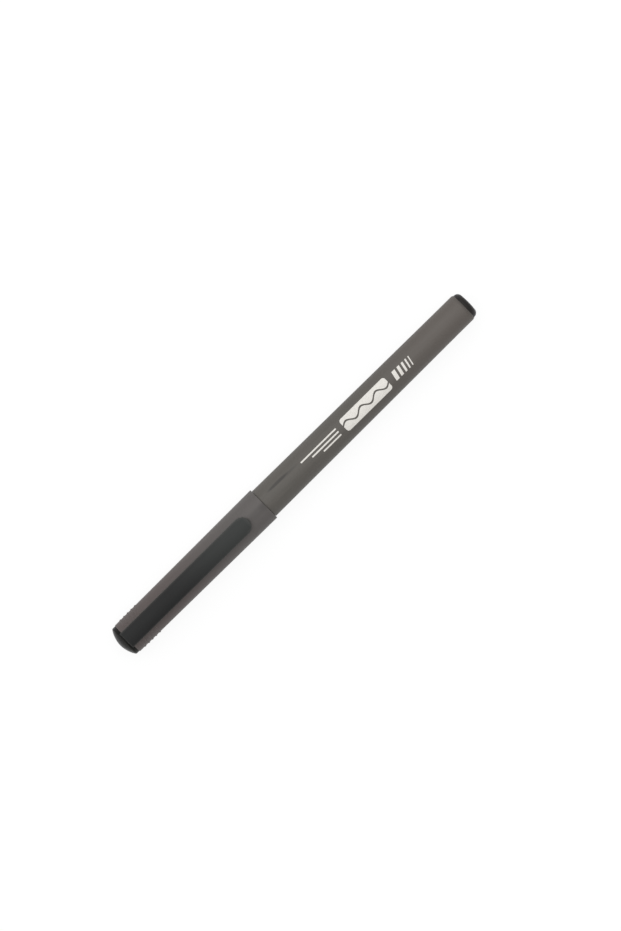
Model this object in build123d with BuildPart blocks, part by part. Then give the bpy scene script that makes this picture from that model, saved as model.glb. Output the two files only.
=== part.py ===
"""Capped fineliner pen: a tapered barrel with its writing system, and a pull-off cap with a slim clip.

Millimetres. The pen lies along X with its cap end at -X, its rear end at +X and its clip up (+Z).
Stations are counted along the pen from the apex of the cap's dome, and radii from the pen's axis.
"""

import os
from math import sqrt

from build123d import *

# Barrel: front section that the cap goes over, then the visible tapered grip
neck_radius = 2.9
neck_straight_length = 2.9
neck_flare_length = 6.1
neck_wall = 0.8
neck_edge = 0.2
flare_rise = 1.1
bead_radius = 4.54
bead_length = 2.5
bead_lead = 0.45
bead_height = 0.12
bead_tail = 0.6
seat_length = 4.4
grip_length = 80.3
land_length = 6.0
shoulder_edge = 0.15
rear_round_length = 0.8
rear_round_depth = 0.3
barrel_rear_wall = 0.81
feed_throat_length = 1.6
barrel_rib_count = 6
barrel_rib_width = 0.8
barrel_rib_height = 0.33

# Cap shell: tube with fine grip rings at the closed end and a notch for the clip's foot
shell_length = 54.9
mouth_clearance = 0.08
mouth_wall = 0.88
mouth_step = 0.57
mouth_edge = 0.2
mouth_lead = 0.15
mouth_land_length = 9.7
seam_gap = 0.12
post_clearance = 0.06
liner_step = 0.42
stop_step = 0.15
end_wall = 1.1
end_edge = 0.2
ring_count = 5
ring_pitch = 1.46
ring_height = 0.16
ring_foot_width = 0.72
ring_foot_depth = 0.1
ring_flank_angle = 60
first_ring_offset = 2.25

# Cap end plug: domed head with a band, and a hollow spigot inside the shell
dome_height = 1.63
dome_edge = 0.3
dome_wall = 1.2
band_length = 1.18
band_setback = 0.17
spigot_length = 7.0
spigot_wall = 0.9
spigot_lead = 0.4

# Inner cap: seal cup that closes on the neck
seal_clearance = 0.05
lip_overlap = 2.6
lip_length = 2.0
lip_depth = 0.4
lip_lead = 0.3
inner_cap_wall = 0.45
inner_cap_end_wall = 0.8
inner_cap_edge = 0.6
nib_room = 6.2
cap_rib_count = 6
cap_rib_width = 0.9
cap_rib_front_setback = 3.0
cap_rib_rear_setback = 2.0

# Clip: thin arm that hugs the shell, with a round free end, and a T-shaped foot held in the end plug
clip_width = 5.4
clip_length = 49.05
clip_overhang = 0.46
arm_gap = 0.4
arm_thickness = 0.9
arm_edge = 0.25
root_edge = 0.35
root_lip_clearance = 0.2
tip_lead_length = 1.2
tip_lead_height = 0.3
nub_setback = 4.5
nub_half_length = 1.3
nub_clearance = 0.15
stem_length = 1.2
stem_width = 3.6
foot_bar_width = 4.8
foot_bar_thickness = 0.8
foot_clearance = 0.2
foot_swing = 0.25

# Writing system: nib, metal sleeve, holder, fibre reservoir and its film
nib_exposed_length = 1.5
tip_radius = 0.33
rod_radius = 0.45
nib_dip = 20.0
sleeve_tube_radius = 0.65
sleeve_tube_length = 2.6
sleeve_cone_length = 2.2
sleeve_skirt_radius = 1.3
sleeve_skirt_length = 3.0
sleeve_wall = 0.2
sleeve_crimp_length = 0.3
sleeve_edge = 0.08
holder_cone_length = 5.8
holder_front_radius = 1.6
holder_rear_radius = 2.6
holder_spigot_length = 8.6
vent_count = 4
vent_width = 0.6
vent_depth = 0.35
reservoir_front_gap = 0.8
film_thickness = 0.08

# Rear plug
rear_head_length = 1.87
rear_head_setback = 0.32
rear_head_corner = 1.7
rear_head_crown = 0.3
rear_spigot_length = 6.0
rear_spigot_wall = 0.9
rear_post_radius = 1.3
rear_post_length = 3.3

# Fit between pieces that are pressed together and stay together
press_clearance = 0.02

# Radii that follow from the fits
seat_radius = bead_radius - bead_height
mouth_bore = bead_radius + mouth_clearance
mouth_radius = mouth_bore + mouth_wall
liner_bore = mouth_bore - liner_step
plug_bore = liner_bore - stop_step
shell_end_radius = plug_bore + end_wall
band_radius = shell_end_radius - band_setback
grip_radius = mouth_radius - mouth_step
rear_radius = mouth_bore - post_clearance
main_bore = rear_radius - barrel_rear_wall
rib_inner_radius = main_bore - barrel_rib_height
film_radius = rib_inner_radius - press_clearance
front_bore = film_radius + press_clearance
neck_bore = neck_radius - neck_wall
flare_radius = neck_radius + flare_rise

# Stations that follow from the lengths
cap_end = dome_height + band_length
mouth = cap_end + shell_length
shoulder = mouth + seam_gap
barrel_rear = shoulder + grip_length
overall_length = barrel_rear + rear_head_length
land_front = barrel_rear - land_length
bead_rear = shoulder - seat_length
bead_front = bead_rear - bead_length
flare_front = bead_front - neck_flare_length
neck_front = flare_front - neck_straight_length
holder_front = neck_front - holder_cone_length
sleeve_cone_front = holder_front - sleeve_cone_length
sleeve_front = sleeve_cone_front - sleeve_tube_length
nib_tip = sleeve_front - nib_exposed_length
lip_mouth = neck_front + lip_overlap
chamber_end = nib_tip - nib_room
inner_cap_end = chamber_end - inner_cap_end_wall
stop_station = inner_cap_end + cap_rib_front_setback
mouth_land_front = mouth - mouth_land_length
holder_rear = neck_front + holder_spigot_length
throat_front = holder_rear + feed_throat_length
throat_rear = throat_front + front_bore - neck_bore
reservoir_front = throat_rear + reservoir_front_gap
reservoir_rear = barrel_rear - rear_spigot_length - rear_post_length
nib_rear = reservoir_front + nib_dip

# The pen rests on the cap's mouth, its widest round
axis_height = mouth_radius
half_length = overall_length / 2
pen_axis = Axis((0, 0, axis_height), (1, 0, 0))
# Half sections are drawn in this plane as (station, radius)
pen_plane = Plane(origin=(-half_length, 0, axis_height), x_dir=(1, 0, 0), z_dir=(0, -1, 0))


def cross_plane(station):
    """Plane across the pen at a station: local x is +Y, local y is +Z, and its normal is +X."""
    return Plane(origin=(station - half_length, 0, axis_height), x_dir=(0, 1, 0), z_dir=(1, 0, 0))


def shell_radius(station):
    """Outer radius of the cap's straight taper at a station."""
    share = (station - cap_end) / shell_length
    return shell_end_radius + (mouth_radius - shell_end_radius) * share


def arm_under(station):
    """Radius of the clip arm's underside at a station."""
    return shell_radius(station) + arm_gap


os.makedirs("parts", exist_ok=True)

# Barrel, one moulding: neck, snap bead, seat for the cap, tapered grip, and ribs that centre the reservoir
with BuildPart() as barrel:
    with BuildSketch(pen_plane):
        with BuildLine():
            neck = Polyline(
                (neck_front, neck_bore),
                (neck_front, neck_radius - neck_edge),
                (neck_front + neck_edge, neck_radius),
                (flare_front, neck_radius),
            )
            flare = TangentArc(neck @ 1, (bead_front, flare_radius), tangent=(1, 0))
            grip = Polyline(
                flare @ 1,
                (bead_front, bead_radius - bead_lead),
                (bead_front + bead_lead, bead_radius),
                (bead_rear, bead_radius),
                (bead_rear + bead_tail, seat_radius),
                (shoulder, seat_radius),
                (shoulder, grip_radius - shoulder_edge),
                (shoulder + shoulder_edge, grip_radius),
                (land_front, rear_radius),
                (barrel_rear - rear_round_length, rear_radius),
            )
            rear_round = TangentArc(grip @ 1, (barrel_rear, rear_radius - rear_round_depth), tangent=(1, 0))
            Polyline(
                rear_round @ 1,
                (barrel_rear, main_bore),
                (shoulder, main_bore),
                (shoulder, front_bore),
                (throat_rear, front_bore),
                (throat_front, neck_bore),
                neck @ 0,
            )
        make_face()
    revolve(axis=pen_axis)
    with BuildSketch(cross_plane(shoulder)):
        with PolarLocations(rib_inner_radius, barrel_rib_count):
            Rectangle(
                barrel_rib_height + barrel_rear_wall / 2,
                barrel_rib_width,
                align=(Align.MIN, Align.CENTER),
            )
    extrude(amount=reservoir_rear - shoulder)
barrel.part.label = "barrel"
export_step(barrel.part, "parts/barrel.step")

# Rear plug: crowned head with a round corner, hollow spigot, and a post that stops the reservoir
with BuildPart() as rear_plug:
    spigot_front = barrel_rear - rear_spigot_length
    spigot_radius = main_bore - press_clearance
    head_radius = rear_radius - rear_head_setback
    with BuildSketch(pen_plane) as rear_profile:
        with BuildLine():
            crown = TangentArc(
                (overall_length, 0),
                (overall_length - rear_head_crown, head_radius),
                tangent=(0, 1),
            )
            Polyline(
                crown @ 1,
                (barrel_rear, head_radius),
                (barrel_rear, spigot_radius),
                (spigot_front, spigot_radius),
                (spigot_front, spigot_radius - rear_spigot_wall),
                (barrel_rear, spigot_radius - rear_spigot_wall),
                (barrel_rear, rear_post_radius),
                (reservoir_rear, rear_post_radius),
                (reservoir_rear, 0),
                crown @ 0,
            )
        make_face()
        corner = rear_profile.vertices().group_by(Axis.Y)[-1].sort_by(Axis.X)[-1]
        fillet(corner, rear_head_corner)
    revolve(axis=pen_axis)
rear_plug.part.label = "rear_plug"
export_step(rear_plug.part, "parts/rear_plug.step")

# Nib holder: black cone that seats on the neck, with a spigot that has air grooves along it
with BuildPart() as nib_holder:
    holder_spigot_radius = neck_bore - press_clearance
    sleeve_socket = sleeve_skirt_radius + press_clearance
    rod_bore = rod_radius + press_clearance
    socket_end = holder_front + sleeve_skirt_length
    with BuildSketch(pen_plane):
        with BuildLine():
            Polyline(
                (holder_front, sleeve_socket),
                (holder_front, holder_front_radius),
                (neck_front, holder_rear_radius),
                (neck_front, holder_spigot_radius),
                (holder_rear, holder_spigot_radius),
                (holder_rear, rod_bore),
                (socket_end, rod_bore),
                (socket_end, sleeve_socket),
                close=True,
            )
        make_face()
    revolve(axis=pen_axis)
    with BuildSketch(cross_plane(neck_front)):
        with PolarLocations(holder_spigot_radius, vent_count):
            Rectangle(vent_depth * 2, vent_width)
    extrude(amount=holder_spigot_length, mode=Mode.SUBTRACT)
nib_holder.part.label = "nib_holder"
export_step(nib_holder.part, "parts/nib_holder.step")

# Nib sleeve: drawn metal tube, crimped at its mouth, with a cone and a skirt pressed into the holder
with BuildPart() as nib_sleeve:
    crimp_rear = sleeve_front + sleeve_crimp_length
    with BuildSketch(pen_plane):
        with BuildLine():
            Polyline(
                (sleeve_front, tip_radius + press_clearance),
                (sleeve_front, sleeve_tube_radius - sleeve_edge),
                (sleeve_front + sleeve_edge, sleeve_tube_radius),
                (sleeve_cone_front, sleeve_tube_radius),
                (holder_front, sleeve_skirt_radius),
                (socket_end, sleeve_skirt_radius),
                (socket_end, sleeve_skirt_radius - sleeve_wall),
                (holder_front, sleeve_skirt_radius - sleeve_wall),
                (sleeve_cone_front, rod_bore),
                (crimp_rear, rod_bore),
                (crimp_rear, tip_radius + press_clearance),
                close=True,
            )
        make_face()
    revolve(axis=pen_axis)
nib_sleeve.part.label = "nib_sleeve"
export_step(nib_sleeve.part, "parts/nib_sleeve.step")

# Nib: one capillary rod with a ground round tip, whose tail dips into the reservoir
with BuildPart() as nib:
    with BuildSketch(pen_plane):
        with BuildLine():
            tip = TangentArc((nib_tip, 0), (nib_tip + tip_radius, tip_radius), tangent=(0, 1))
            Polyline(
                tip @ 1,
                (crimp_rear + press_clearance, tip_radius),
                (crimp_rear + press_clearance, rod_radius),
                (nib_rear, rod_radius),
                (nib_rear, 0),
                tip @ 0,
            )
        make_face()
    revolve(axis=pen_axis)
nib.part.label = "nib"
export_step(nib.part, "parts/nib.step")

# Ink reservoir: fibre rod with the channel that the nib's tail makes in it
with BuildPart() as ink_reservoir:
    fibre_radius = film_radius - film_thickness - press_clearance
    with BuildSketch(pen_plane):
        with BuildLine():
            Polyline(
                (reservoir_front, rod_bore),
                (reservoir_front, fibre_radius),
                (reservoir_rear, fibre_radius),
                (reservoir_rear, 0),
                (nib_rear, 0),
                (nib_rear, rod_bore),
                close=True,
            )
        make_face()
    revolve(axis=pen_axis)
ink_reservoir.part.label = "ink_reservoir"
export_step(ink_reservoir.part, "parts/ink_reservoir.step")

# Reservoir film: thin sleeve round the fibre rod, open at both ends
with BuildPart() as reservoir_film:
    with BuildSketch(cross_plane(reservoir_front)):
        Circle(film_radius)
        Circle(film_radius - film_thickness, mode=Mode.SUBTRACT)
    extrude(amount=reservoir_rear - reservoir_front)
reservoir_film.part.label = "reservoir_film"
export_step(reservoir_film.part, "parts/reservoir_film.step")

# Cap shell: tapered tube with a stepped bore, raised grip rings, and a notch open at the closed end
stem_front = cap_end + foot_clearance
stem_rear = stem_front + stem_length
notch_length = stem_rear + foot_clearance - cap_end
notch_width = stem_width + foot_clearance * 2
with BuildPart() as cap_shell:
    ring_stations = [cap_end + first_ring_offset + i * ring_pitch for i in range(ring_count)]
    with BuildSketch(pen_plane):
        with BuildLine():
            Polyline(
                (cap_end, plug_bore),
                (cap_end, shell_end_radius - end_edge),
                (cap_end + end_edge, shell_end_radius),
                (mouth - mouth_edge, mouth_radius),
                (mouth, mouth_radius - mouth_edge),
                (mouth, mouth_bore + mouth_lead),
                (mouth - mouth_lead, mouth_bore),
                (mouth_land_front, mouth_bore),
                (mouth_land_front, liner_bore),
                (stop_station, liner_bore),
                (stop_station, plug_bore),
                close=True,
            )
        make_face()
    revolve(axis=pen_axis)
    with BuildSketch(pen_plane):
        with Locations([(s, shell_radius(s) - ring_foot_depth) for s in ring_stations]):
            Trapezoid(
                ring_foot_width,
                ring_foot_depth + ring_height,
                ring_flank_angle,
                align=(Align.CENTER, Align.MIN),
            )
    revolve(axis=pen_axis)
    with BuildSketch(cross_plane(cap_end)):
        Rectangle(notch_width, mouth_radius, align=(Align.CENTER, Align.MIN))
    extrude(amount=notch_length, mode=Mode.SUBTRACT)
cap_shell.part.label = "cap_shell"
export_step(cap_shell.part, "parts/cap_shell.step")

# Cap end plug: domed head, band, and a hollow spigot with a window for the clip's foot
bar_top = sqrt(plug_bore**2 - (foot_bar_width / 2) ** 2) - foot_clearance
bar_bottom = bar_top - foot_bar_thickness
with BuildPart() as cap_end_plug:
    plug_spigot_radius = plug_bore - press_clearance
    plug_spigot_rear = cap_end + spigot_length
    with BuildSketch(pen_plane) as plug_profile:
        with BuildLine():
            dome = TangentArc((0, 0), (dome_height, band_radius), tangent=(0, 1))
            Polyline(
                dome @ 1,
                (cap_end, band_radius),
                (cap_end, plug_spigot_radius),
                (plug_spigot_rear - spigot_lead, plug_spigot_radius),
                (plug_spigot_rear, plug_spigot_radius - spigot_lead),
                (plug_spigot_rear, plug_spigot_radius - spigot_wall),
                (dome_wall, plug_spigot_radius - spigot_wall),
                (dome_wall, 0),
                dome @ 0,
            )
        make_face()
        rim = plug_profile.vertices().group_by(Axis.Y)[-1].sort_by(Axis.X)[0]
        fillet(rim, dome_edge)
    revolve(axis=pen_axis)
    with BuildSketch(cross_plane(cap_end)):
        with Locations((0, bar_bottom - foot_clearance)):
            Rectangle(
                foot_bar_width + foot_clearance * 2,
                plug_bore,
                align=(Align.CENTER, Align.MIN),
            )
    extrude(amount=notch_length + foot_swing, mode=Mode.SUBTRACT)
cap_end_plug.part.label = "cap_end_plug"
export_step(cap_end_plug.part, "parts/cap_end_plug.step")

# Inner cap: seal cup with a lip that closes on the neck, held in the shell by ribs that leave air ways
with BuildPart() as inner_cap:
    lip_bore = neck_radius + seal_clearance
    chamber_radius = lip_bore + lip_depth
    cup_radius = chamber_radius + inner_cap_wall
    lip_front = lip_mouth - lip_length
    rib_rear = lip_mouth - cap_rib_rear_setback
    with BuildSketch(pen_plane):
        with BuildLine():
            Polyline(
                (inner_cap_end, 0),
                (inner_cap_end, cup_radius - inner_cap_edge),
                (inner_cap_end + inner_cap_edge, cup_radius),
                (lip_mouth, cup_radius),
                (lip_mouth, lip_bore + lip_lead),
                (lip_mouth - lip_lead, lip_bore),
                (lip_front, lip_bore),
                (lip_front - lip_depth, chamber_radius),
                (chamber_end, chamber_radius),
                (chamber_end, 0),
                close=True,
            )
        make_face()
    revolve(axis=pen_axis)
    with BuildSketch(cross_plane(stop_station)):
        with PolarLocations(cup_radius - inner_cap_wall / 2, cap_rib_count):
            Rectangle(liner_bore, cap_rib_width, align=(Align.MIN, Align.CENTER))
        Circle(liner_bore - press_clearance, mode=Mode.INTERSECT)
    extrude(amount=rib_rear - stop_station)
inner_cap.part.label = "inner_cap"
export_step(inner_cap.part, "parts/inner_cap.step")

# Clip: arm curved like the shell, a nub under its free end, a lip at its root, and a T-shaped foot
with BuildPart() as clip:
    clip_root = cap_end - clip_overhang
    clip_tip = clip_root + clip_length
    lip_rear = cap_end - root_lip_clearance
    lip_bottom = band_radius + root_lip_clearance
    nub_station = clip_tip - nub_setback
    nub_bottom = shell_radius(nub_station) + nub_clearance
    with BuildSketch(pen_plane):
        with BuildLine():
            top = FilletPolyline(
                (clip_root, lip_bottom),
                (clip_root, arm_under(clip_root) + arm_thickness),
                (clip_tip, arm_under(clip_tip) + arm_thickness),
                (clip_tip, arm_under(clip_tip) + tip_lead_height),
                (clip_tip - tip_lead_length, arm_under(clip_tip - tip_lead_length)),
                (nub_station + nub_half_length, arm_under(nub_station + nub_half_length)),
                radius=[root_edge, 0, 0, 0],
            )
            nub = ThreePointArc(
                top @ 1,
                (nub_station, nub_bottom),
                (nub_station - nub_half_length, arm_under(nub_station - nub_half_length)),
            )
            Polyline(
                nub @ 1,
                (lip_rear, arm_under(lip_rear)),
                (lip_rear, lip_bottom),
                top @ 0,
            )
        make_face()
    revolve(axis=pen_axis)
    with BuildSketch(Plane.XY.offset(axis_height)):
        with Locations((clip_root - half_length, 0)):
            Rectangle(
                clip_length - clip_width / 2,
                clip_width,
                align=(Align.MIN, Align.CENTER),
            )
        with Locations((clip_tip - clip_width / 2 - half_length, 0)):
            Circle(clip_width / 2)
    extrude(amount=arm_under(clip_tip) + arm_thickness, mode=Mode.INTERSECT)
    top_edges = clip.faces().sort_by(SortBy.AREA)[-1].edges().filter_by(Plane.YZ, reverse=True)
    fillet(top_edges, arm_edge)
    stem_top = arm_under(cap_end) + arm_thickness / 2
    with BuildSketch(cross_plane(stem_front)):
        with Locations((0, bar_bottom)):
            Rectangle(stem_width, stem_top - bar_bottom, align=(Align.CENTER, Align.MIN))
            Rectangle(foot_bar_width, foot_bar_thickness, align=(Align.CENTER, Align.MIN))
    extrude(amount=stem_length)
clip.part.label = "clip"
export_step(clip.part, "parts/clip.step")
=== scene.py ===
import math

import bmesh
import bpy
from mathutils import Matrix, Vector


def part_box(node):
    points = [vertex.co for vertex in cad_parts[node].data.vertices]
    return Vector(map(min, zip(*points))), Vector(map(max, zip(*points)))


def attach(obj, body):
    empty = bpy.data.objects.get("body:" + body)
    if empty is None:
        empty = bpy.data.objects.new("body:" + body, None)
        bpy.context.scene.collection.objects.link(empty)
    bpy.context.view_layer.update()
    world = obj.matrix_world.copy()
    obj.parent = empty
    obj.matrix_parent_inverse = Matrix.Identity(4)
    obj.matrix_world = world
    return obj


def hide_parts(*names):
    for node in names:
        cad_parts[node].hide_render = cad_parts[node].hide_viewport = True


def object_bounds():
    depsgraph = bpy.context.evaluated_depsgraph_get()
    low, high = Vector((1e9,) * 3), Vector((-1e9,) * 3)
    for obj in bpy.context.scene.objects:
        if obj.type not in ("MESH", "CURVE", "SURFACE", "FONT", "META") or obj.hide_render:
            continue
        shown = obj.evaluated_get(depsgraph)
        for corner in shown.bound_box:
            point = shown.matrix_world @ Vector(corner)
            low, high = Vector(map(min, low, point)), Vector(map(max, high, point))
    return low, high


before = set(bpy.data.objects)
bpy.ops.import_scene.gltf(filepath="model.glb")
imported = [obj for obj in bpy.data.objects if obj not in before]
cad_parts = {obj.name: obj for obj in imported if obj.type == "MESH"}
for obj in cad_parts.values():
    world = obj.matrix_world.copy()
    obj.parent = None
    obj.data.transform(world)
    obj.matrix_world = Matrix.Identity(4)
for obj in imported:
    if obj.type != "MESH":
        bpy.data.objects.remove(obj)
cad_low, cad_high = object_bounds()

# Barrel: a long tube of satin polypropylene in warm grey, injection moulded in one piece. Its front carries
# the neck, the snap bead and the seat for the cap, and its rear rim is rounded over round the plug.
mm = 0.001
weld = 0.001
pen_front = cad_low.x / mm


def node_box(node):
    """Corners of a CAD node in millimetres, with X counted along the pen from the cap dome's apex."""
    low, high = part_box(node)
    apex = Vector((pen_front, 0, 0))
    return low / mm - apex, high / mm - apex


barrel_low, barrel_high = node_box("barrel")
shell_low, shell_high = node_box("cap_shell")
holder_low, holder_high = node_box("nib_holder")
axis_height = (barrel_low.z + barrel_high.z) / 2
neck_front, barrel_rear = barrel_low.x, barrel_high.x
grip_radius = (barrel_high.z - barrel_low.z) / 2
neck_radius, neck_wall, neck_edge, neck_bore_edge = 2.9, 0.8, 0.2, 0.1
flare_radius, flare_setback, flare_reach = 4.0, 2.96, 3.1
bead_radius, bead_length, bead_lead, bead_edge = 4.54, 2.5, 0.4, 0.25
bead_height, bead_tail = 0.12, 0.6
seam_gap, seat_length, shoulder_edge = 0.05, 4.4, 0.08
rear_radius, rear_wall, land_length = 4.56, 0.81, 6.0
rear_round_setback, rear_round_reach, rim_depth, rim_edge = 0.344, 0.45, 0.3, 0.03
bore_step, throat_length = 0.33, 1.6
shoulder = shell_high.x + seam_gap
bead_rear = shoulder - seat_length
bead_front = bead_rear - bead_length
seat_radius = bead_radius - bead_height
land_front = barrel_rear - land_length
neck_bore = neck_radius - neck_wall
main_bore = rear_radius - rear_wall
front_bore = main_bore - bore_step
throat_front = holder_high.x + throat_length
throat_rear = throat_front + front_bore - neck_bore
round_steps, small_reach, edge_segments, round_segments = 144, 0.3, 4, 14


def turned(outline, closed=True, steps=round_steps):
    """A round shape about the pen's axis. An outline point is (station, radius, reach of its rounding).
    Small roundings carry the share to which handling has rubbed them, most at their middle."""
    shape = bmesh.new()
    rub = shape.verts.layers.float.new("rub")
    corners = [shape.verts.new((pen_front + s, 0, axis_height + r)) for s, r, _ in outline]
    for one, two in zip(corners, corners[1:] + corners[:1] if closed else corners[1:]):
        shape.edges.new((one, two))
    for corner, (_, _, reach) in zip(corners, outline):
        if not reach:
            continue
        tip = corner.co.copy()
        small = reach < small_reach
        segments = edge_segments if small else round_segments
        arc = bmesh.ops.bevel(shape, geom=[corner], offset=reach, offset_type="OFFSET", affect="VERTICES",
                              segments=segments, profile=0.5, material=-1)["verts"]
        away = [(v.co - tip).length for v in arc]
        for vert, distance in zip(arc, away):
            vert[rub] = (max(away) - distance) / (max(away) - min(away)) if small else 0
    bmesh.ops.spin(shape, geom=shape.verts[:] + shape.edges[:], cent=(0, 0, axis_height), axis=(1, 0, 0),
                   angle=math.tau, steps=steps, use_merge=True)
    bmesh.ops.remove_doubles(shape, verts=shape.verts[:], dist=weld)
    bmesh.ops.recalc_face_normals(shape, faces=shape.faces[:])
    return shape


def add_piece(name, shape, material, sharp_degrees=35):
    """Turns a shape in millimetres into a smooth-shaded object that sits at the origin."""
    bmesh.ops.scale(shape, vec=(mm, mm, mm), verts=shape.verts[:])
    data = bpy.data.meshes.new(name)
    shape.to_mesh(data)
    shape.free()
    data.shade_smooth()
    data.set_sharp_from_angle(angle=math.radians(sharp_degrees))
    data.materials.append(material)
    piece = bpy.data.objects.new(name, data)
    bpy.context.scene.collection.objects.link(piece)
    weighted = piece.modifiers.new("weighted_normals", "WEIGHTED_NORMAL")
    weighted.keep_sharp = True
    return piece


def colour(hex_text):
    """A linear colour from an sRGB hex value."""
    shares = [int(hex_text[i:i + 2], 16) / 255 for i in (1, 3, 5)]
    linear = [c / 12.92 if c <= 0.04045 else ((c + 0.055) / 1.055) ** 2.4 for c in shares]
    return (*linear, 1)


def add_node(material, kind, inputs, **settings):
    """Adds a shader node. Inputs gives each socket a value, an output that feeds it, or a node whose first
    output does. A Mix node's colours are its sockets 6 and 7, and its output 2."""
    added = material.node_tree.nodes.new("ShaderNode" + kind)
    for name, value in settings.items():
        setattr(added, name, value)
    for socket, value in inputs.items():
        if isinstance(value, bpy.types.Node):
            value = value.outputs[0]
        if isinstance(value, bpy.types.NodeSocket):
            material.node_tree.links.new(value, added.inputs[socket])
        else:
            added.inputs[socket].default_value = value
    return added


def new_material(name):
    """An empty node material, and its Object coordinates."""
    material = bpy.data.materials.new(name)
    material.use_nodes = True
    material.node_tree.nodes.clear()
    return material, add_node(material, "TexCoord", {}).outputs["Object"]


def cells(*sizes):
    """Scales along X, Y and Z of a pattern whose cells have these sizes in millimetres."""
    return [1 / (size * mm) for size in sizes]


# Satin plastic has a broad soft sheen, and its tone drifts along the way the melt flowed. Its pebble comes
# from the mould, weaker on a glossier piece. The pebble is drawn about three times as coarse as the real
# one, so that it holds in a picture.
flow_length, flow_width, speck_size, speck_share = 9, 0.5, 0.35, 0.3
pebble_size, pebble_depth, pebble_share = 0.15, 0.03, 1.45
tone_low, tone_high, flow_low, flow_high, sheen_spread = 0.3, 0.7, 0.25, 0.75, 0.06
# The dark colour serves the soft dark lines, and the painted shade at the barrel's rear rim
plastic_ior, dark_line_and_painted_shade, worn_edge, edge_wear = 1.49, "#2A2726", "#B4AFA8", 0.06


def moulded_plastic(name, dark, pale, rough, gloss=0.5, marks=(), paling=None):
    """Injection-moulded plastic between two tones, with edges that handling has rubbed paler.
    Marks are soft dark lines, and the painted shade round the barrel's rear rim: centre and half sizes in
    millimetres, depth, and the share of the mark that has this depth all over.
    The last argument is a stretch along the pen, and the paler colour that the piece turns to at its end; on
    the cap and the clip this paler end is painted light."""
    material, place = new_material(name)
    flow_place = add_node(material, "Mapping", {
        "Vector": place, "Scale": cells(flow_length, flow_width, flow_width)})
    flow = add_node(material, "TexNoise", {"Vector": flow_place, "Scale": 1, "Detail": 3, "Roughness": 0.55})
    specks = add_node(material, "TexNoise", {
        "Vector": place, "Scale": 1 / (speck_size * mm), "Detail": 2})
    pebble = add_node(material, "TexNoise", {
        "Vector": place, "Scale": 1 / (pebble_size * mm), "Detail": 1.5})
    tone = add_node(material, "Mix", {"Factor": speck_share, "A": flow, "B": specks})
    pale_share = add_node(material, "MapRange", {"Value": tone, "From Min": tone_low, "From Max": tone_high})
    body = add_node(material, "Mix", {"Factor": pale_share, 6: colour(dark), 7: colour(pale)},
                    data_type="RGBA").outputs[2]
    # A paler stretch towards one end, which on the cap and the clip is painted light
    if paling:
        paling_start, paling_end, paler_colour = paling
        along = add_node(material, "SeparateXYZ", {"Vector": place})
        paling_share = add_node(material, "MapRange", {
            "Value": along, "From Min": (pen_front + paling_start) * mm,
            "From Max": (pen_front + paling_end) * mm}, interpolation_type="SMOOTHSTEP")
        body = add_node(material, "Mix", {"Factor": paling_share, 6: body, 7: colour(paler_colour)},
                        data_type="RGBA").outputs[2]
    # Soft dark marks, of which the ring at the barrel's rear rim is painted shade
    for (station, across, radius), half_sizes, depth, core_share in marks:
        centre = (pen_front + station, across, axis_height + radius)
        spot = add_node(material, "Mapping", {
            "Vector": place, "Location": [c * mm for c in centre], "Scale": [h * mm for h in half_sizes]},
            vector_type="TEXTURE")
        soft = add_node(material, "TexGradient", {"Vector": spot}, gradient_type="SPHERICAL").outputs["Fac"]
        darkness = add_node(material, "MapRange", {
            "Value": soft, "From Max": 1 - core_share, "To Max": depth})
        body = add_node(material, "Mix", {"Factor": darkness, 6: body, 7: colour(dark_line_and_painted_shade)},
                        data_type="RGBA").outputs[2]
    rub = add_node(material, "Attribute", {}, attribute_name="rub").outputs["Fac"]
    wear = add_node(material, "MapRange", {"Value": rub, "To Max": edge_wear})
    body = add_node(material, "Mix", {"Factor": wear, 6: body, 7: colour(worn_edge)},
                    data_type="RGBA").outputs[2]
    sheen = add_node(material, "MapRange", {
        "Value": flow, "From Min": flow_low, "From Max": flow_high,
        "To Min": rough - sheen_spread, "To Max": rough + sheen_spread})
    relief = add_node(material, "Bump", {
        "Height": pebble, "Strength": pebble_share * rough, "Distance": pebble_depth * mm})
    shader = add_node(material, "BsdfPrincipled", {
        "Base Color": body, "Roughness": sheen, "Normal": relief, "IOR": plastic_ior,
        "Specular IOR Level": gloss})
    add_node(material, "OutputMaterial", {"Surface": shader})
    return material


# Soft dark lines lie behind the shoulder, painted shade darkens the rear rim, and the rear is paler
shoulder_line = ((shoulder + 7.14, 1.9, 4.6), (4.7, 0.53, 2), 0.6, 0.6)
shoulder_line_tail = ((shoulder + 11.24, 1.68, 4.6), (5, 0.55, 2), 0.3, 0.3)
# Painted shade: the barrel's rear rim is darkened where the plug meets it
rim_painted_shade = ((barrel_rear, 0, 0), (1.6, 6, 6), 1.0, 0)
rear_paling = (barrel_rear - 43.1, barrel_rear - 8.1, "#5B5550")
grey_polypropylene = moulded_plastic("satin_polypropylene_grey", "#524F4A", "#5A5651", rough=0.55,
                                     marks=[shoulder_line, shoulder_line_tail, rim_painted_shade], paling=rear_paling)
barrel_outline = [
    (neck_front, neck_bore, neck_bore_edge), (neck_front, neck_radius, neck_edge),
    (bead_front - flare_setback, neck_radius, flare_reach), (bead_front, flare_radius, 0),
    (bead_front, bead_radius, bead_lead), (bead_rear, bead_radius, bead_edge),
    (bead_rear + bead_tail, seat_radius, bead_edge), (shoulder, seat_radius, 0),
    (shoulder, grip_radius, shoulder_edge), (land_front, rear_radius, 0),
    (barrel_rear - rear_round_setback, rear_radius, rear_round_reach),
    (barrel_rear, rear_radius - rim_depth, rim_edge), (barrel_rear, main_bore, 0), (shoulder, main_bore, 0),
    (shoulder, front_bore, 0), (throat_rear, front_bore, 0), (throat_front, neck_bore, 0)]
barrel = add_piece("barrel_tube", turned(barrel_outline), grey_polypropylene)
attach(barrel, "pen")
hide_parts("barrel")

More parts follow.
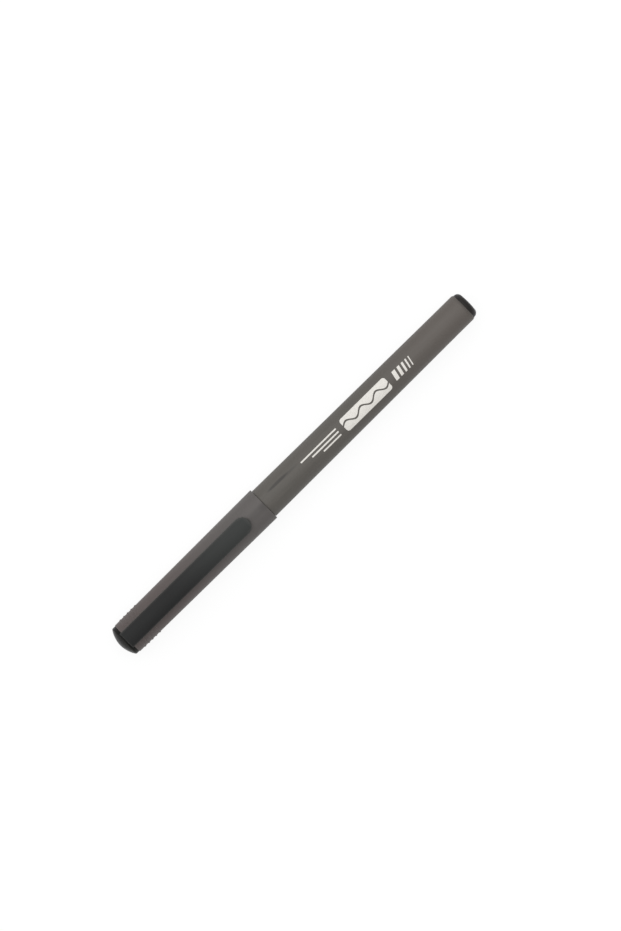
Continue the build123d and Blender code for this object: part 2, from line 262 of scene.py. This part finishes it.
# Print: marks in off-white ink, pad printed on the barrel as a film a few hundredths of a millimetre thick.
# Three ruled lines end at a plate with a wave left open in it, and a row of slanted bars narrows behind it.
ink_thickness, mark_corner, corner_segments = 0.025, 0.1, 3
print_start, print_gap = shoulder + 15.7, 2.0
line_lengths, line_thickness, line_pitch = (14.0, 10.5, 7.0), 0.45, 1.15
plate_length, plate_height, plate_corner = 18.0, 4.4, 0.9
wave_length, wave_height, wave_gap, wave_steps = 6.0, 0.75, 0.55, 120
bar_widths, bar_gap, bar_height, bar_slant = (1.25, 0.95, 0.7, 0.5, 0.35), 0.75, 2.9, 0.6
curve_step, curve_steps = 0.4, 6
line_end = print_start + max(line_lengths)
plate_start = line_end + print_gap
bar_start = plate_start + plate_length + print_gap


def barrel_radius(station):
    """Radius of the barrel's straight taper at a station."""
    return grip_radius + (rear_radius - grip_radius) * (station - shoulder) / (land_front - shoulder)


def flat_mark(sheet, start, length, low, high, slant=0):
    """Adds a four-sided mark with rounded corners, drawn as (station, distance round the barrel)."""
    corners = [(start, low), (start + length, low), (start + length + slant, high), (start + slant, high)]
    face = sheet.faces.new([sheet.verts.new((s, y, 0)) for s, y in corners])
    bmesh.ops.bevel(sheet, geom=face.verts[:], offset=mark_corner, offset_type="OFFSET", affect="VERTICES",
                    segments=corner_segments, profile=0.5, material=-1)


def half_plate(sheet, side):
    """Adds the half of the plate on one side of the wave. Side is 1 above the wave and -1 below it.
    Its points lie closest together at the plate's rounded ends."""
    strip = bmesh.ops.create_grid(sheet, x_segments=wave_steps, y_segments=1, size=0.5)["verts"]
    for vert in strip:
        along = (1 + math.sin(math.pi * vert.co.x)) / 2 * plate_length
        past = max(plate_corner - along, along - plate_length + plate_corner, 0)
        edge = plate_height / 2 - plate_corner + math.sqrt(plate_corner**2 - min(past, plate_corner)**2)
        wave = wave_height * math.sin(math.tau * along / wave_length)
        inner = wave * side + wave_gap / 2
        vert.co = (plate_start + along, side * (edge if vert.co.y * side > 0 else inner), 0)


ink_sheet = bmesh.new()
for row, length in enumerate(line_lengths):
    middle = (1 - row) * line_pitch
    flat_mark(ink_sheet, line_end - length, length, middle - line_thickness / 2, middle + line_thickness / 2)
half_plate(ink_sheet, 1)
half_plate(ink_sheet, -1)
bar_place = bar_start
for width in bar_widths:
    flat_mark(ink_sheet, bar_place, width, -bar_height / 2, bar_height / 2, bar_slant)
    bar_place += width + bar_gap
for step in range(-curve_steps, curve_steps + 1):
    bmesh.ops.bisect_plane(ink_sheet, geom=ink_sheet.verts[:] + ink_sheet.edges[:] + ink_sheet.faces[:],
                           dist=weld, plane_co=(0, step * curve_step, 0), plane_no=(0, 1, 0))
upper = bmesh.ops.extrude_face_region(ink_sheet, geom=ink_sheet.faces[:], use_keep_orig=True)["geom"]
upper_verts = [v for v in upper if isinstance(v, bmesh.types.BMVert)]
bmesh.ops.translate(ink_sheet, vec=(0, 0, ink_thickness), verts=upper_verts)
for vert in ink_sheet.verts:
    station, way_round, height = vert.co
    angle = way_round / barrel_radius(station)
    radius = barrel_radius(station) + height
    vert.co = (pen_front + station, radius * math.sin(angle), axis_height + radius * math.cos(angle))
bmesh.ops.recalc_face_normals(ink_sheet, faces=ink_sheet.faces[:])

# Pad-printing ink is nearly matt and a little thin in places, so faint specks of the grey below show through
ink_speck, ink_thin, ink_full = 0.3, 0.3, 0.55
ink, ink_place = new_material("pad_print_ink_off_white")
ink_cover = add_node(ink, "TexNoise", {
    "Vector": ink_place, "Scale": 1 / (ink_speck * mm), "Detail": 4, "Roughness": 0.65})
ink_share = add_node(ink, "MapRange", {"Value": ink_cover, "From Min": ink_thin, "From Max": ink_full})
ink_tone = add_node(ink, "Mix", {"Factor": ink_share, 6: colour("#D0CDC6"), 7: colour("#E6E3DD")},
                    data_type="RGBA").outputs[2]
ink_sheen = add_node(ink, "MapRange", {"Value": ink_cover, "To Min": 0.62, "To Max": 0.48})
ink_shader = add_node(ink, "BsdfPrincipled", {"Base Color": ink_tone, "Roughness": ink_sheen, "IOR": 1.45})
add_node(ink, "OutputMaterial", {"Surface": ink_shader})
barrel_print = add_piece("barrel_print", ink_sheet, ink)
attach(barrel_print, "pen")

# Rear plug: a black polypropylene button with a crowned face and a big round corner. Its hollow spigot is
# pressed into the barrel, and the post in its middle keeps the ink rod in place.
pen_rear = cad_high.x / mm - pen_front
press_gap = 0.02
head_setback, head_corner, head_edge = 0.32, 1.45, 0.1
crown_flat, crown_slope, crown_drop, crown_reach = 0.9, 0.01, 0.3, 0.85
spigot_length, spigot_wall, spigot_lead = 6.0, 0.9, 0.2
post_radius, post_length, post_edge = 1.3, 3.3, 0.1
head_radius = rear_radius - head_setback
spigot_radius = main_bore - press_gap
spigot_inner = spigot_radius - spigot_wall
spigot_front = barrel_rear - spigot_length
post_front = spigot_front - post_length

# A smoother mould gives the black plastic a tighter sheen than the barrel's
black_polypropylene = moulded_plastic(
    "satin_polypropylene_black", "#252322", "#2B2928", rough=0.4, gloss=0.15)
rear_plug = add_piece("rear_button", turned([
    (pen_rear, 0, 0), (pen_rear - crown_slope, crown_flat, crown_reach),
    (pen_rear - crown_drop, head_radius, head_corner), (barrel_rear, head_radius, head_edge),
    (barrel_rear, spigot_radius, 0), (spigot_front, spigot_radius, spigot_lead),
    (spigot_front, spigot_inner, 0), (barrel_rear, spigot_inner, 0), (barrel_rear, post_radius, 0),
    (post_front, post_radius, post_edge), (post_front, 0, 0)], closed=False), black_polypropylene)
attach(rear_plug, "pen")
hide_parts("rear_plug")

# Nib holder: the black polypropylene cone in front of the neck. Its long spigot is pressed into the barrel,
# and the nib runs through it to the ink.
sleeve_low, sleeve_high = node_box("nib_sleeve")
holder_front, holder_rear = holder_low.x, holder_high.x
sleeve_front, skirt_rear = sleeve_low.x, sleeve_high.x
cone_front_radius, cone_rear_radius, cone_front_edge, cone_rear_edge = 1.6, 2.6, 0.08, 0.1
skirt_radius, socket_edge, rod_radius = 1.3, 0.05, 0.45
tip_steps, feed_edge = 96, 0.1
skirt_bore = skirt_radius + press_gap
rod_bore = rod_radius + press_gap
feed_radius = neck_bore - press_gap
nib_holder = add_piece("nib_cone", turned([
    (holder_front, skirt_bore, socket_edge), (holder_front, cone_front_radius, cone_front_edge),
    (neck_front, cone_rear_radius, cone_rear_edge), (neck_front, feed_radius, 0),
    (holder_rear, feed_radius, feed_edge), (holder_rear, rod_bore, 0), (skirt_rear, rod_bore, 0),
    (skirt_rear, skirt_bore, 0)], steps=tip_steps), black_polypropylene)
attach(nib_holder, "pen")
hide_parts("nib_holder")

# Nib sleeve: a thin tube of drawn nickel silver, necked down in front and crimped round the nib. Its skirt
# is pressed into the holder's cone.
tube_radius, tube_length, tube_edge, tube_bend = 0.65, 1.9, 0.1, 0.3
crimp_length, crimp_edge, skirt_bend, sleeve_wall = 0.3, 0.02, 0.05, 0.2
tip_radius = 0.33
tip_bore = tip_radius + press_gap
tube_rear = sleeve_front + tube_length
crimp_rear = sleeve_front + crimp_length
skirt_inner = skirt_radius - sleeve_wall

# Metal that was necked down has fine lines round it from the tool, and warm tints from its copper. The
# lines are drawn a few times as coarse as real ones, so that they hold in a close-up.
tool_line_width, tool_line_length, tool_line_depth, tint_size = 0.06, 3, 0.01, 0.8
metal, metal_place = new_material("drawn_nickel_silver")
tool_place = add_node(metal, "Mapping", {
    "Vector": metal_place, "Scale": cells(tool_line_width, tool_line_length, tool_line_length)})
tool_lines = add_node(metal, "TexNoise", {"Vector": tool_place, "Scale": 1, "Detail": 2})
tints = add_node(metal, "TexNoise", {"Vector": metal_place, "Scale": 1 / (tint_size * mm), "Detail": 3})
metal_tone = add_node(metal, "Mix", {"Factor": tints, 6: colour("#CFC3B6"), 7: colour("#D6D1CC")},
                      data_type="RGBA").outputs[2]
metal_sheen = add_node(metal, "MapRange", {"Value": tool_lines, "To Min": 0.22, "To Max": 0.36})
metal_relief = add_node(metal, "Bump", {
    "Height": tool_lines, "Strength": 0.1, "Distance": tool_line_depth * mm})
metal_shader = add_node(metal, "BsdfPrincipled", {
    "Base Color": metal_tone, "Metallic": 1, "Roughness": metal_sheen, "Normal": metal_relief})
add_node(metal, "OutputMaterial", {"Surface": metal_shader})
nib_sleeve = add_piece("tip_sleeve", turned([
    (sleeve_front, tip_bore, crimp_edge), (sleeve_front, tube_radius, tube_edge),
    (tube_rear, tube_radius, tube_bend), (holder_front, skirt_radius, skirt_bend),
    (skirt_rear, skirt_radius, 0), (skirt_rear, skirt_inner, 0), (holder_front, skirt_inner, 0),
    (tube_rear, rod_bore, 0), (crimp_rear, rod_bore, 0), (crimp_rear, tip_bore, 0)], steps=tip_steps), metal)
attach(nib_sleeve, "pen")
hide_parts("nib_sleeve")

# Nib: a rod of bonded fibre, ground to a round tip and soaked with black ink. It passes through the holder
# into the ink rod, and friction holds it.
nib_low, nib_high = node_box("nib")
tip_front, nib_rear = nib_low.x, nib_high.x
tip_round, rod_steps = 0.3, 64
tip_rear = crimp_rear + press_gap

# Wet fibre is dull and lined along its length. The strands are drawn about three times as coarse as real
# ones, so that they hold in a close-up.
strand_length, strand_width, strand_depth = 2, 0.07, 0.02
fibre, fibre_place = new_material("ink_soaked_fibre_rod")
strand_place = add_node(fibre, "Mapping", {
    "Vector": fibre_place, "Scale": cells(strand_length, strand_width, strand_width)})
strands = add_node(fibre, "TexNoise", {"Vector": strand_place, "Scale": 1, "Detail": 3, "Roughness": 0.6})
fibre_tone = add_node(fibre, "Mix", {"Factor": strands, 6: colour("#141211"), 7: colour("#3A3633")},
                      data_type="RGBA").outputs[2]
fibre_relief = add_node(fibre, "Bump", {"Height": strands, "Strength": 0.5, "Distance": strand_depth * mm})
fibre_shader = add_node(fibre, "BsdfPrincipled", {
    "Base Color": fibre_tone, "Roughness": 0.75, "Normal": fibre_relief})
add_node(fibre, "OutputMaterial", {"Surface": fibre_shader})
nib = add_piece("writing_nib", turned([
    (tip_front, 0, 0), (tip_front, tip_radius, tip_round), (tip_rear, tip_radius, 0),
    (tip_rear, rod_radius, 0), (nib_rear, rod_radius, 0), (nib_rear, 0, 0)], closed=False, steps=rod_steps),
    fibre)
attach(nib, "pen")
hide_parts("nib")

# Ink rod: polyester fibre drawn into a rod and soaked with ink, the store that feeds the nib. It lies loose
# in the barrel between the throat and the rear post, inside its wrap.
ink_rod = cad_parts["ink_reservoir"]
ink_rod.data.materials.clear()
ink_rod.data.materials.append(fibre)

# Wrap: clear polypropylene film, rolled round the ink rod and welded along one side. It keeps the wet fibre
# off the barrel's ribs.
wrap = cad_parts["reservoir_film"]

# Thin clear film glints along its long creases
crease_length, crease_width, crease_depth = 12, 1.2, 0.05
clear_film, film_place = new_material("clear_polypropylene_film")
crease_place = add_node(clear_film, "Mapping", {
    "Vector": film_place, "Scale": cells(crease_length, crease_width, crease_width)})
creases = add_node(clear_film, "TexNoise", {"Vector": crease_place, "Scale": 1, "Detail": 2})
film_sheen = add_node(clear_film, "MapRange", {"Value": creases, "To Min": 0.08, "To Max": 0.24})
film_relief = add_node(clear_film, "Bump", {
    "Height": creases, "Strength": 0.3, "Distance": crease_depth * mm})
film_shader = add_node(clear_film, "BsdfPrincipled", {
    "Base Color": colour("#E9EAEB"), "Roughness": film_sheen, "Normal": film_relief, "IOR": plastic_ior,
    "Transmission Weight": 0.9})
add_node(clear_film, "OutputMaterial", {"Surface": film_shader})
wrap.data.materials.clear()
wrap.data.materials.append(clear_film)

# Cap shell: a tapered tube moulded in warm grey polypropylene, a shade redder than the barrel. Five fine
# rings at its closed end help the fingers pull it off, and a notch there takes the stem of the clip's foot.
liner_low, _ = node_box("inner_cap")
cap_end, mouth = shell_low.x, shell_high.x
mouth_radius = (shell_high.y - shell_low.y) / 2
mouth_gap, mouth_land, mouth_edge, mouth_lead = 0.08, 9.7, 0.15, 0.15
liner_step, stop_step, stop_setback = 0.42, 0.15, 3.0
end_wall, end_edge, end_bore_edge = 1.1, 0.2, 0.1
ring_count, ring_start, ring_pitch = 5, 2.25, 1.46
ring_height, ring_foot, ring_crest = 0.16, 0.30, 0.21
ring_foot_round, ring_crest_round = 0.09, 0.08
foot_gap, stem_width, stem_length = 0.2, 3.6, 1.2
mouth_bore = bead_radius + mouth_gap
liner_bore = mouth_bore - liner_step
plug_bore = liner_bore - stop_step
shell_end_radius = plug_bore + end_wall
land_start = mouth - mouth_land
stop_station = liner_low.x + stop_setback
stem_front = cap_end + foot_gap
stem_rear = stem_front + stem_length
notch_rear = stem_rear + foot_gap
notch_width = stem_width + 2 * foot_gap


def shell_radius(station):
    """Outer radius of the cap's straight taper at a station."""
    return shell_end_radius + (mouth_radius - shell_end_radius) * (station - cap_end) / (mouth - cap_end)


def cut_box(shape, low, high):
    """A shape with the box between two corners, in millimetres, cut out of it."""
    block = bmesh.new()
    bmesh.ops.create_cube(block, size=1)
    bmesh.ops.scale(block, vec=Vector(high) - Vector(low), verts=block.verts[:])
    bmesh.ops.translate(block, vec=(Vector(high) + Vector(low)) / 2, verts=block.verts[:])
    solids = []
    for part in (shape, block):
        data = bpy.data.meshes.new("cutting")
        part.to_mesh(data)
        part.free()
        solids.append(bpy.data.objects.new("cutting", data))
        bpy.context.scene.collection.objects.link(solids[-1])
    knife = solids[0].modifiers.new("cut", "BOOLEAN")
    knife.operation = "DIFFERENCE"
    knife.solver = "EXACT"
    knife.object = solids[1]
    result = bmesh.new()
    result.from_object(solids[0], bpy.context.evaluated_depsgraph_get())
    for solid in solids:
        bpy.data.meshes.remove(solid.data)
    return result


ring_outline = []
for ring in range(ring_count):
    middle = cap_end + ring_start + ring * ring_pitch
    low, high = shell_radius(middle), shell_radius(middle) + ring_height
    ring_outline += [
        (middle - ring_foot, low, ring_foot_round), (middle - ring_crest, high, ring_crest_round),
        (middle + ring_crest, high, ring_crest_round), (middle + ring_foot, low, ring_foot_round)]

# The cap's plastic has faint dark lines on top near the mouth, and painted light makes it paler and less red
# there
top_line = ((mouth - 3.41, -0.07, 5.4), (5, 1.7, 2), 0.22, 0.4)
mouth_line = ((mouth, -0.13, 5.4), (2.6, 1.9, 2), 0.3, 0.3)
cap_painted_light = (cap_end + 11.2, mouth - 3.7, "#595553")
warm_polypropylene = moulded_plastic("satin_polypropylene_warm_grey", "#504745", "#584F4D", rough=0.55,
                                     marks=[top_line, mouth_line], paling=cap_painted_light)
cap_tube = turned([
    (cap_end, plug_bore, end_bore_edge), (cap_end, shell_end_radius, end_edge), *ring_outline,
    (mouth, mouth_radius, mouth_edge), (mouth, mouth_bore, mouth_lead), (land_start, mouth_bore, 0),
    (land_start, liner_bore, 0), (stop_station, liner_bore, 0), (stop_station, plug_bore, 0)])
cap_tube = cut_box(cap_tube, (pen_front, -notch_width / 2, axis_height),
                   (pen_front + notch_rear, notch_width / 2, axis_height + 2 * mouth_radius))
cap_shell = add_piece("cap_tube", cap_tube, warm_polypropylene)
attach(cap_shell, "cap")
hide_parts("cap_shell")

# Cap end plug: the black polypropylene dome that closes the cap tube. Its hollow spigot is pressed into the
# tube, and a window in the spigot's top holds the bar of the clip's foot.
dome_height, dome_corner, dome_reach, dome_wall = 1.63, 2.756, 2.5, 1.2
band_setback, band_front_edge, band_rear_edge = 0.17, 0.2, 0.1
plug_length, plug_wall, plug_lead = 7.0, 0.9, 0.4
foot_width, foot_thickness, foot_swing, window_land = 4.8, 0.8, 0.25, 0.05
band_radius = shell_end_radius - band_setback
plug_radius = plug_bore - press_gap
plug_inner = plug_radius - plug_wall
plug_rear = cap_end + plug_length
foot_top = math.sqrt(plug_bore**2 - (foot_width / 2)**2) - foot_gap
foot_bottom = foot_top - foot_thickness
window_width = foot_width + 2 * foot_gap
window_front = cap_end + window_land
window_rear = notch_rear + foot_swing
window_bottom = foot_bottom - foot_gap
plug = turned([
    (0, 0, 0), (0, dome_corner, dome_reach), (dome_height, band_radius, band_front_edge),
    (cap_end, band_radius, band_rear_edge), (cap_end, plug_radius, 0), (plug_rear, plug_radius, plug_lead),
    (plug_rear, plug_inner, 0), (dome_wall, plug_inner, 0), (dome_wall, 0, 0)], closed=False)
plug = cut_box(plug, (pen_front + window_front, -window_width / 2, axis_height + window_bottom),
               (pen_front + window_rear, window_width / 2, axis_height + band_radius))

# A polished mould leaves the dome nearly pure black, with one small faint highlight
jet_polypropylene = moulded_plastic("satin_polypropylene_jet", "#1D1D1C", "#232322", rough=0.3, gloss=0.07)
cap_end_plug = add_piece("cap_dome", plug, jet_polypropylene)
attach(cap_end_plug, "cap")
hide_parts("cap_end_plug")

# Inner cap: a cup of natural polyethylene in the cap, whose lip closes on the neck and keeps the nib wet.
# Ribs round it are pressed into the cap tube.
seal_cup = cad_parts["inner_cap"]

# Unpigmented polyethylene is waxy and milky, with faint clouds, and light soaks a little way into it
cloud_size, soak_depth = 2.5, 0.8
milky, milky_place = new_material("natural_polyethylene")
clouds = add_node(milky, "TexNoise", {"Vector": milky_place, "Scale": 1 / (cloud_size * mm), "Detail": 3})
milky_tone = add_node(milky, "Mix", {"Factor": clouds, 6: colour("#C9C6BD"), 7: colour("#D8D5CE")},
                      data_type="RGBA").outputs[2]
milky_sheen = add_node(milky, "MapRange", {"Value": clouds, "To Min": 0.38, "To Max": 0.5})
milky_shader = add_node(milky, "BsdfPrincipled", {
    "Base Color": milky_tone, "Roughness": milky_sheen, "IOR": 1.51, "Subsurface Weight": 0.3,
    "Subsurface Radius": (soak_depth * mm, soak_depth * mm, soak_depth * mm), "Subsurface Scale": 1})
add_node(milky, "OutputMaterial", {"Surface": milky_shader})
seal_cup.data.materials.clear()
seal_cup.data.materials.append(milky)

# Clip: a slim arm of black acetal with a round free end, moulded to follow the cap's curve. A nub under the
# free end grips the pocket, and a T-shaped foot at the root is trapped between the cap tube and end plug.
clip_low, clip_high = node_box("clip")
clip_root, clip_tip = clip_low.x, clip_high.x
half_width = (clip_high.y - clip_low.y) / 2
arm_gap, arm_thickness, arm_edge, arm_rub, tip_segments = 0.4, 0.9, 0.25, 0.5, 20
lip_gap = 0.2
nub_setback, nub_half_length, nub_depth, nub_steps = 4.5, 1.3, 0.25, 5
lead_length, lead_height = 1.2, 0.3
stem_strips, side_strips = 8, 5
lip_rear = cap_end - lip_gap
lip_radius = band_radius + lip_gap
nub_station = clip_tip - nub_setback
strip_width = stem_width / stem_strips


def arm_under(station):
    """Radius of the arm's underside at a station, with its nub and the lead at its free end."""
    from_nub = (station - nub_station) / nub_half_length
    nub_dip = nub_depth * max(1 - from_nub**2, 0)
    lead_rise = lead_height * max(station - clip_tip + lead_length, 0) / lead_length
    return shell_radius(station) + arm_gap - nub_dip + lead_rise


def pushed_out(shape, faces, vec):
    """Extrudes faces by a vector and gives the faces at their new place."""
    moved = bmesh.ops.extrude_face_region(shape, geom=faces)["geom"]
    bmesh.ops.delete(shape, geom=faces, context="FACES")
    bmesh.ops.translate(shape, vec=vec, verts=[v for v in moved if isinstance(v, bmesh.types.BMVert)])
    return [f for f in moved if isinstance(f, bmesh.types.BMFace)]


arm = bmesh.new()
rubbed = arm.verts.layers.float.new("rub")
plan = [(clip_root, -half_width), (clip_tip, -half_width), (clip_tip, half_width), (clip_root, half_width)]
plan_face = arm.faces.new([arm.verts.new((s, y, 0)) for s, y in plan])
bmesh.ops.bevel(arm, geom=[v for v in plan_face.verts if v.co.x > nub_station], offset=half_width,
                offset_type="OFFSET", affect="VERTICES", segments=tip_segments, profile=0.5, material=-1)
bmesh.ops.remove_doubles(arm, verts=arm.verts[:], dist=weld)
cut_stations = [lip_rear, stem_front, stem_rear, clip_tip - lead_length]
cut_stations += [nub_station + nub_half_length * i / nub_steps for i in range(-nub_steps, nub_steps + 1)]
cuts = [((s, 0, 0), (1, 0, 0)) for s in cut_stations]
cuts += [((0, strip_width * i, 0), (0, 1, 0)) for i in range(-side_strips, side_strips + 1)]
for place, way in cuts:
    bmesh.ops.bisect_plane(arm, geom=arm.verts[:] + arm.edges[:] + arm.faces[:], dist=weld,
                           plane_co=place, plane_no=way)
bmesh.ops.recalc_face_normals(arm, faces=arm.faces[:])
under_faces = arm.faces[:]
raised = bmesh.ops.extrude_face_region(arm, geom=under_faces, use_keep_orig=True)["geom"]
top_verts = {v for v in raised if isinstance(v, bmesh.types.BMVert)}
top_faces = {f for f in raised if isinstance(f, bmesh.types.BMFace)}
lip_faces = [f for f in under_faces if f.calc_center_median().x < lip_rear]
stem_faces = [f for f in under_faces if stem_front < f.calc_center_median().x < stem_rear
              and abs(f.calc_center_median().y) < stem_width / 2]
for vert in arm.verts:
    station, across, _ = vert.co
    radius = shell_radius(station) + arm_gap + arm_thickness if vert in top_verts else arm_under(station)
    vert.co.z = math.sqrt(radius**2 - across**2)
rim = [e for e in arm.edges if sum(f in top_faces for f in e.link_faces) == 1]
for vert in {v for f in pushed_out(arm, lip_faces, (0, 0, 0)) for v in f.verts}:
    vert.co.z = math.sqrt(lip_radius**2 - vert.co.y**2)
stem_end = pushed_out(arm, stem_faces, (0, 0, 0))
for vert in {v for f in stem_end for v in f.verts}:
    vert.co.z = foot_top
pushed_out(arm, stem_end, (0, 0, -foot_thickness))
for side in (-1, 1):
    flank = [f for f in arm.faces if f.calc_center_median().z < foot_top
             and abs(f.calc_center_median().y - side * stem_width / 2) < weld]
    pushed_out(arm, flank, (0, side * (foot_width - stem_width) / 2, 0))
rounded = bmesh.ops.bevel(arm, geom=rim, offset=arm_edge, offset_type="OFFSET", affect="EDGES",
                          segments=edge_segments, profile=0.5, material=-1)
for vert in rounded["verts"]:
    vert[rubbed] = arm_rub
bmesh.ops.translate(arm, vec=(pen_front, 0, axis_height), verts=arm.verts[:])
bmesh.ops.recalc_face_normals(arm, faces=arm.faces[:])

# Acetal is dense and matt, and painted light makes it greyer towards the free end
clip_painted_light = (clip_root + 15.65, clip_tip - 1.4, "#323433")
black_acetal = moulded_plastic("satin_acetal_black", "#151616", "#1A1B1B", rough=0.58, gloss=0.3,
                               paling=clip_painted_light)
clip = add_piece("pocket_clip", arm, black_acetal)
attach(clip, "clip")
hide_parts("clip")

# Studio: a pale floor that reads as plain white, soft light from all round, and one broad lamp above the
# pen's far side. The camera looks straight down on the pen, which lies across the picture.
floor_half, floor_drop = 2500, 0.02
paper_colour, shadow_colour, sweep_glow = "#E7E7E7", "#696969", 0.88
room_light, lamp_place, lamp_size, lamp_watts = 0.6, (60, 470, 1060), 1800, 10.5

# The floor shows as a white sweep with a faint shadow, and sends out no more light than plain paper
floor_paint, _ = new_material("white_paper_floor")
rays = add_node(floor_paint, "LightPath", {}).outputs
looked_at = add_node(floor_paint, "Math", {0: rays["Is Camera Ray"], 1: rays["Is Glossy Ray"]},
                     operation="MAXIMUM")
seen = add_node(floor_paint, "Math", {0: looked_at, 1: rays["Is Transmission Ray"]}, operation="MAXIMUM")
paper = add_node(floor_paint, "BsdfDiffuse", {"Color": colour(paper_colour)})
shadow = add_node(floor_paint, "BsdfDiffuse", {"Color": colour(shadow_colour)})
glow = add_node(floor_paint, "Emission", {"Color": colour("#FFFFFF"), "Strength": sweep_glow})
sweep = add_node(floor_paint, "AddShader", {0: shadow, 1: glow})
floor_shader = add_node(floor_paint, "MixShader", {0: seen, 1: paper, 2: sweep})
add_node(floor_paint, "OutputMaterial", {"Surface": floor_shader})
paper_sheet = bmesh.new()
bmesh.ops.create_grid(paper_sheet, x_segments=1, y_segments=1, size=floor_half)
bmesh.ops.translate(paper_sheet, vec=(0, 0, -floor_drop), verts=paper_sheet.verts[:])
floor = add_piece("floor", paper_sheet, floor_paint)

world = bpy.data.worlds.new("soft_room")
world.use_nodes = True
world.node_tree.nodes["Background"].inputs["Color"].default_value = colour("#FFFFFF")
world.node_tree.nodes["Background"].inputs["Strength"].default_value = room_light
bpy.context.scene.world = world

lamp = bpy.data.lights.new("key_box", "AREA")
lamp.shape = "SQUARE"
lamp.size = lamp_size * mm
lamp.energy = lamp_watts
key_box = bpy.data.objects.new("key_box", lamp)
key_box.location = Vector(lamp_place) * mm
key_box.rotation_mode = "QUATERNION"
key_box.rotation_quaternion = key_box.location.to_track_quat("Z", "Y")
key_box.visible_camera = False
bpy.context.scene.collection.objects.link(key_box)

view_height, pen_tilt, view_lean = 266.5, 44.62, 3.2
pen_right, pen_up = 4.61, 2.34
lens, sensor = 300, 36
lean = math.radians(view_lean)
tilt = math.radians(pen_tilt)
along_pen = Vector((1, 0, 0))
across_pen = Vector((0, math.cos(lean), -math.sin(lean)))
towards = Vector((0, math.sin(lean), math.cos(lean)))
right = along_pen * math.cos(tilt) - across_pen * math.sin(tilt)
up = along_pen * math.sin(tilt) + across_pen * math.cos(tilt)
aim = Vector((0, 0, axis_height)) + right * pen_right + up * pen_up
camera = bpy.data.cameras.new("photo_camera")
camera.lens = lens
camera.sensor_width = sensor
viewer = bpy.data.objects.new("photo_camera", camera)
turn = Matrix((right, up, towards)).transposed().to_4x4()
viewer.matrix_world = Matrix.Translation((aim + towards * view_height * lens / sensor) * mm) @ turn
bpy.context.scene.collection.objects.link(viewer)
bpy.context.scene.camera = viewer
bpy.context.scene.view_settings.view_transform = "Standard"
